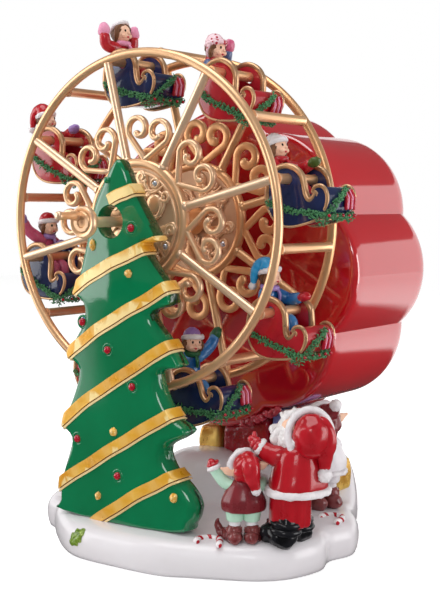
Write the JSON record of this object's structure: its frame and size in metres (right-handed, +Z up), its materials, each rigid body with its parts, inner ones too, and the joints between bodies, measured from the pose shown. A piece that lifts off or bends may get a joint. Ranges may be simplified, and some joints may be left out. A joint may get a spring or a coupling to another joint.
{
  "type": "musical ferris wheel ornament",
  "caption": "Hand cranked music box in the form of a Christmas ferris wheel with hanging sleighs, between a tree post and a scalloped drum on a snowy base.",
  "frame": {"origin": "on the underside of the snow base, straight below the middle of the wheel's axle", "axes": "+Z up, wheel axle along Y with the crank and the tree post towards -Y and the drum towards +Y, +X the way the sleighs face"},
  "size_m": [0.1868, 0.19, 0.2414],
  "materials": {
    "wheel_gold": "satin gold paint",
    "movement_brass": "machined",
    "comb_steel": "ground",
    "tree_green": "gloss painted resin",
    "drum_red": "gloss painted resin",
    "snow_white": "gloss painted resin",
    "sleigh_blue": "gloss painted resin",
    "sleigh_red": "gloss painted resin",
    "rider_red": "painted resin",
    "rider_blue": "painted resin",
    "rider_white": "painted resin",
    "rider_pink": "painted resin",
    "present_gold": "metallic painted resin",
    "present_red": "painted resin with glitter",
    "present_blue": "painted resin",
    "present_green": "painted resin",
    "coat_red": "painted resin",
    "tunic_red": "painted resin",
    "cane_white": "painted resin"
  },
  "bodies": {
    "stand": {"snow_base": "snow_white", "tree_post": "tree_green", "drum_shell": "drum_red", "drum_back_cover": "drum_red", "movement_bracket": "movement_brass", "comb": "comb_steel", "shaft_bush": "movement_brass", "gold_present": "present_gold", "red_present": "present_red", "blue_present": "present_blue", "green_present": "present_green", "side_present": "present_gold", "red_coat_figure": "coat_red", "left_elf": "tunic_red", "right_elf": "tunic_red", "candy_cane_1": "cane_white", "candy_cane_2": "cane_white"},
    "wheel": {"front_rim": "wheel_gold", "rear_rim": "wheel_gold", "front_spoke_frame": "wheel_gold", "rear_spoke_frame": "wheel_gold", "hub_sleeve": "wheel_gold", "wheel_shaft": "wheel_gold", "crank_disc": "wheel_gold", "crank_peg": "wheel_gold", "drive_gear": "movement_brass", "sleigh_rod_1": "wheel_gold", "sleigh_rod_2": "wheel_gold", "sleigh_rod_3": "wheel_gold", "sleigh_rod_4": "wheel_gold", "sleigh_rod_5": "wheel_gold", "sleigh_rod_6": "wheel_gold", "sleigh_rod_7": "wheel_gold", "sleigh_rod_8": "wheel_gold", "tie_rod_1": "wheel_gold", "tie_rod_2": "wheel_gold", "tie_rod_3": "wheel_gold", "tie_rod_4": "wheel_gold", "tie_rod_5": "wheel_gold", "tie_rod_6": "wheel_gold", "tie_rod_7": "wheel_gold", "tie_rod_8": "wheel_gold"},
    "music_cylinder": {"pinned_cylinder": "movement_brass"},
    "gondola_1": {"sleigh_1": "sleigh_blue", "rider_1": "rider_red"},
    "gondola_2": {"sleigh_2": "sleigh_red", "rider_2": "rider_blue"},
    "gondola_3": {"sleigh_3": "sleigh_blue", "rider_3": "rider_red"},
    "gondola_4": {"sleigh_4": "sleigh_red", "rider_4": "rider_white"},
    "gondola_5": {"sleigh_5": "sleigh_blue", "rider_5": "rider_pink"},
    "gondola_6": {"sleigh_6": "sleigh_red", "rider_6": "rider_blue"},
    "gondola_7": {"sleigh_7": "sleigh_blue", "rider_7": "rider_blue"},
    "gondola_8": {"sleigh_8": "sleigh_red", "rider_8": "rider_blue"}
  },
  "joints": [
    {"name": "wheel_spin", "type": "hinge", "parent": "stand", "child": "wheel", "pos_m": [0, 0, 0.152], "axis": [0, 1, 0], "continuous": true},
    {"name": "cylinder_spin", "type": "hinge", "parent": "stand", "child": "music_cylinder", "pos_m": [0, 0, 0.1292], "axis": [0, 1, 0], "continuous": true},
    {"name": "gondola_1_swing", "type": "hinge", "parent": "wheel", "child": "gondola_1", "pos_m": [0.07368, 0, 0.17064], "axis": [0, 1, 0], "continuous": true},
    {"name": "gondola_2_swing", "type": "hinge", "parent": "wheel", "child": "gondola_2", "pos_m": [0.03892, 0, 0.21728], "axis": [0, 1, 0], "continuous": true},
    {"name": "gondola_3_swing", "type": "hinge", "parent": "wheel", "child": "gondola_3", "pos_m": [-0.01864, 0, 0.22568], "axis": [0, 1, 0], "continuous": true},
    {"name": "gondola_4_swing", "type": "hinge", "parent": "wheel", "child": "gondola_4", "pos_m": [-0.06528, 0, 0.19092], "axis": [0, 1, 0], "continuous": true},
    {"name": "gondola_5_swing", "type": "hinge", "parent": "wheel", "child": "gondola_5", "pos_m": [-0.07368, 0, 0.13336], "axis": [0, 1, 0], "continuous": true},
    {"name": "gondola_6_swing", "type": "hinge", "parent": "wheel", "child": "gondola_6", "pos_m": [-0.03892, 0, 0.08672], "axis": [0, 1, 0], "continuous": true},
    {"name": "gondola_7_swing", "type": "hinge", "parent": "wheel", "child": "gondola_7", "pos_m": [0.01864, 0, 0.07832], "axis": [0, 1, 0], "continuous": true},
    {"name": "gondola_8_swing", "type": "hinge", "parent": "wheel", "child": "gondola_8", "pos_m": [0.06528, 0, 0.11308], "axis": [0, 1, 0], "continuous": true}
  ],
  "couplings": [
    {"joint": "cylinder_spin", "follows": "wheel_spin", "ratio": -0.66667},
    {"joint": "gondola_1_swing", "follows": "wheel_spin", "ratio": -1},
    {"joint": "gondola_2_swing", "follows": "wheel_spin", "ratio": -1},
    {"joint": "gondola_3_swing", "follows": "wheel_spin", "ratio": -1},
    {"joint": "gondola_4_swing", "follows": "wheel_spin", "ratio": -1},
    {"joint": "gondola_5_swing", "follows": "wheel_spin", "ratio": -1},
    {"joint": "gondola_6_swing", "follows": "wheel_spin", "ratio": -1},
    {"joint": "gondola_7_swing", "follows": "wheel_spin", "ratio": -1},
    {"joint": "gondola_8_swing", "follows": "wheel_spin", "ratio": -1}
  ]
}
